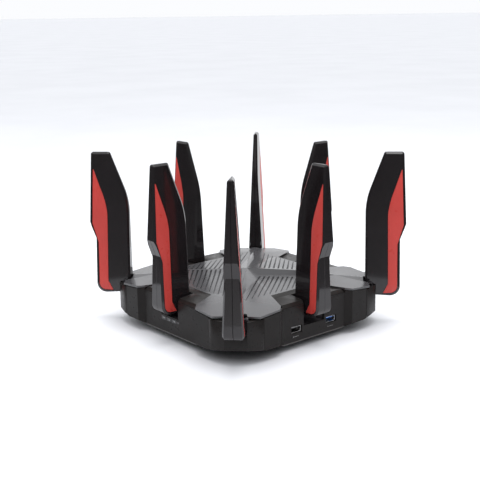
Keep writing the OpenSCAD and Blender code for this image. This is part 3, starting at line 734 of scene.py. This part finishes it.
def disc(bm, cx, cy, r, n=16):
    """A small flat dot."""
    top = [bm.verts.new(((cx + r * math.cos(2 * math.pi * i / n)) * MM,
                         (cy + r * math.sin(2 * math.pi * i / n)) * MM, MARK_T * MM))
           for i in range(n)]
    low = [bm.verts.new((v.co.x, v.co.y, 0)) for v in top]
    bm.faces.new(top)
    bm.faces.new(low[::-1])
    for i in range(n):
        j = (i + 1) % n
        bm.faces.new((low[i], low[j], top[j], top[i]))


def bar(bm, cx, cy, w, h, angle=0):
    """A small flat bar, turned by angle about its middle."""
    m = Matrix.Translation((cx * MM, cy * MM, MARK_T / 2 * MM)) @ Matrix.Rotation(
        math.radians(angle), 4, "Z") @ Matrix.Diagonal((w * MM, h * MM, MARK_T * MM, 1))
    bmesh.ops.create_cube(bm, size=1, matrix=m)


def place_mark(name, draw, where, outward, body):
    """Lays a mark on a wall: outward is the wall's normal, and the mark's own up is +Z."""
    bm = bmesh.new()
    draw(bm)
    z = Vector(outward)
    y = Vector((0, 0, 1))
    x = y.cross(z)
    m = Matrix((
        (x.x, y.x, z.x, where[0] * MM), (x.y, y.y, z.y, where[1] * MM),
        (x.z, y.z, z.z, where[2] * MM), (0, 0, 0, 1)))
    bm.transform(m)
    bmesh.ops.recalc_face_normals(bm, faces=bm.faces)
    new_piece(name, bm, MARK, body)


def waves(bm):
    disc(bm, 0, -0.9, 0.26)
    for r in (0.85, 1.5):
        band(bm, 0, -0.9, r, r + 0.3, 45, 135)


def two_arrows(bm):
    band(bm, 0, 0, 0.85, 1.12, 20, 160)
    band(bm, 0, 0, 0.85, 1.12, 200, 340)
    bar(bm, 0.98, 0.42, 0.5, 0.24, 20)
    bar(bm, -0.98, -0.42, 0.5, 0.24, 20)


def lamp(bm):
    band(bm, 0, 0, 0.5, 0.8, 0, 360)
    for i in range(8):
        a = math.radians(45 * i)
        bar(bm, 1.2 * math.cos(a), 1.2 * math.sin(a), 0.4, 0.26, 45 * i)


def three_bars(bm):
    for i in (-1, 0, 1):
        bar(bm, i * 1.9, 0, 1.2, 0.34)
    band(bm, -4.1, 0, 0.3, 0.55, 0, 360, 14)


for i, (key, draw) in enumerate((("wifi_key", waves), ("pairing_key", two_arrows),
                                 ("light_key", lamp))):
    middle = (KEY_MID + (i - 1) * KEY_PITCH, -SIDE_X - KEY_PROUD, KEY_Z)
    place_mark(f"mark_{key}", draw, middle, (0, -1, 0), key + "_body")
for side, y in (("near", -USB_Y), ("far", USB_Y)):
    place_mark(f"mark_usb_{side}", three_bars, (SIDE_X, y, USB_MARK_Z), (1, 0, 0), "base")

# --- floor, light and camera ------------------------------------------------------
AZ, EL, ROLL = (math.radians(v) for v in (50.21, 13.976, -0.813))
CAMERA_AT = (0.73312, -0.6197, 0.32787)
SENSOR, LENS = 36, 69.3825
NEAR_FLOOR, FAR_FLOOR = 0.31, 60.0


def floor_ring(name, inner, outer, mat, in_gloss):
    """A flat ring of the studio floor, centred on the object; an inner radius of 0 is a disc."""
    bm = bmesh.new()
    n = 96
    rows = []
    for r in (inner, outer) if inner else (outer,):
        rows.append([bm.verts.new((r * math.cos(2 * math.pi * i / n),
                                   r * math.sin(2 * math.pi * i / n), 0)) for i in range(n)])
    if inner:
        for i in range(n):
            j = (i + 1) % n
            bm.faces.new((rows[0][i], rows[1][i], rows[1][j], rows[0][j]))
    else:
        bm.faces.new(rows[0])
    me = bpy.data.meshes.new(name)
    bm.to_mesh(me)
    bm.free()
    me.materials.append(mat)
    o = bpy.data.objects.new(name, me)
    bpy.context.scene.collection.objects.link(o)
    o.visible_glossy = in_gloss


def floor_paper():
    """Pale matt paper with a faint unevenness."""
    n = Nodes("floor_paper")
    n.link(n.tint(n.ramp(n.noise(3), 0, 1), (0.79, 0.8, 0.83), (0.82, 0.83, 0.86)),
           n.shader.inputs["Base Color"])
    n.link(n.ramp(n.noise(30), 0.55, 0.65), n.shader.inputs["Roughness"])
    n.shader.inputs["Specular IOR Level"].default_value = 0.1
    return n.material


PAPER = floor_paper()
floor_ring("studio_floor_near", 0, NEAR_FLOOR, PAPER, True)
floor_ring("studio_floor_far", NEAR_FLOOR, FAR_FLOOR, PAPER, False)


def studio_world(front, back_level, low_front, overhead):
    """Plain white to look at; lit and mirrored, it is bright behind and above, dim in front."""
    world = bpy.data.worlds.new("studio")
    bpy.context.scene.world = world
    world.use_nodes = True
    t = world.node_tree
    bg = t.nodes["Background"]

    def new(kind, **settings):
        node = t.nodes.new(kind)
        for k, v in settings.items():
            setattr(node, k, v)
        return node

    def mapped(source, a, b, low, high):
        node = new("ShaderNodeMapRange", interpolation_type="SMOOTHSTEP")
        for k, v in zip(("From Min", "From Max", "To Min", "To Max"), (a, b, low, high)):
            node.inputs[k].default_value = v
        t.links.new(source, node.inputs["Value"])
        return node.outputs["Result"]

    def maths(op, a, b):
        node = new("ShaderNodeMath", operation=op)
        for k, v in enumerate((a, b)):
            if isinstance(v, float):
                node.inputs[k].default_value = v
            else:
                t.links.new(v, node.inputs[k])
        return node.outputs[0]
    way = new("ShaderNodeTexCoord").outputs["Generated"]
    dot = new("ShaderNodeVectorMath", operation="DOT_PRODUCT")
    t.links.new(way, dot.inputs[0])
    dot.inputs[1].default_value = front
    split = new("ShaderNodeSeparateXYZ")
    t.links.new(way, split.inputs[0])
    up_down = split.outputs["Z"]
    ahead = mapped(dot.outputs["Value"], -0.82, -0.5, 0.0, 1.0)
    level = mapped(up_down, 0.25, 0.75, 1.0, 0.0)
    shade_part = maths("MULTIPLY", ahead, level)
    front_level = maths("MULTIPLY", mapped(up_down, -0.6, -0.05, 1.6, low_front),
                        mapped(dot.outputs["Value"], 0.3, 0.9, 0.4, 1.0))
    bright = mapped(up_down, 0.3, 0.9, back_level, overhead)
    mix = maths("MULTIPLY", bright, maths("SUBTRACT", 1.0, shade_part))
    total = maths("ADD", mix, maths("MULTIPLY", front_level, shade_part))
    seen = new("ShaderNodeLightPath").outputs["Is Camera Ray"]
    other = maths("MULTIPLY", total, maths("SUBTRACT", 1.0, seen))
    t.links.new(maths("ADD", seen, other), bg.inputs["Strength"])
    bg.inputs["Color"].default_value = (0.97, 0.98, 1.0, 1)


studio_world((math.sin(AZ), -math.cos(AZ), 0), 1.2, 0.17, 1.4)


def area(name, where, target, size, power):
    """A square-on area light that points at its target."""
    light = bpy.data.lights.new(name, "AREA")
    light.shape = "RECTANGLE"
    light.size, light.size_y = size
    light.energy = power
    o = bpy.data.objects.new(name, light)
    o.location = where
    o.rotation_euler = (Vector(target) - Vector(where)).to_track_quat("-Z", "Y").to_euler()
    bpy.context.scene.collection.objects.link(o)


area("top_light", (0.0, 0.1, 1.3), (0, 0, 0), (1.1, 1.1), 14)

back = Vector((math.sin(AZ) * math.cos(EL), -math.cos(AZ) * math.cos(EL), math.sin(EL)))
right = (-back).cross(Vector((0, 0, 1))).normalized()
up = right.cross(-back)
r_axis = right * math.cos(ROLL) + up * math.sin(ROLL)
u_axis = up * math.cos(ROLL) - right * math.sin(ROLL)
cam = bpy.data.cameras.new("camera")
cam.sensor_width = SENSOR
cam.lens = LENS
cam.clip_start, cam.clip_end = 0.05, 50
camera = bpy.data.objects.new("camera", cam)
camera.matrix_world = Matrix((
    (r_axis.x, u_axis.x, back.x, CAMERA_AT[0]), (r_axis.y, u_axis.y, back.y, CAMERA_AT[1]),
    (r_axis.z, u_axis.z, back.z, CAMERA_AT[2]), (0, 0, 0, 1)))
bpy.context.scene.collection.objects.link(camera)
bpy.context.scene.camera = camera
bpy.context.scene.view_settings.view_transform = "Standard"
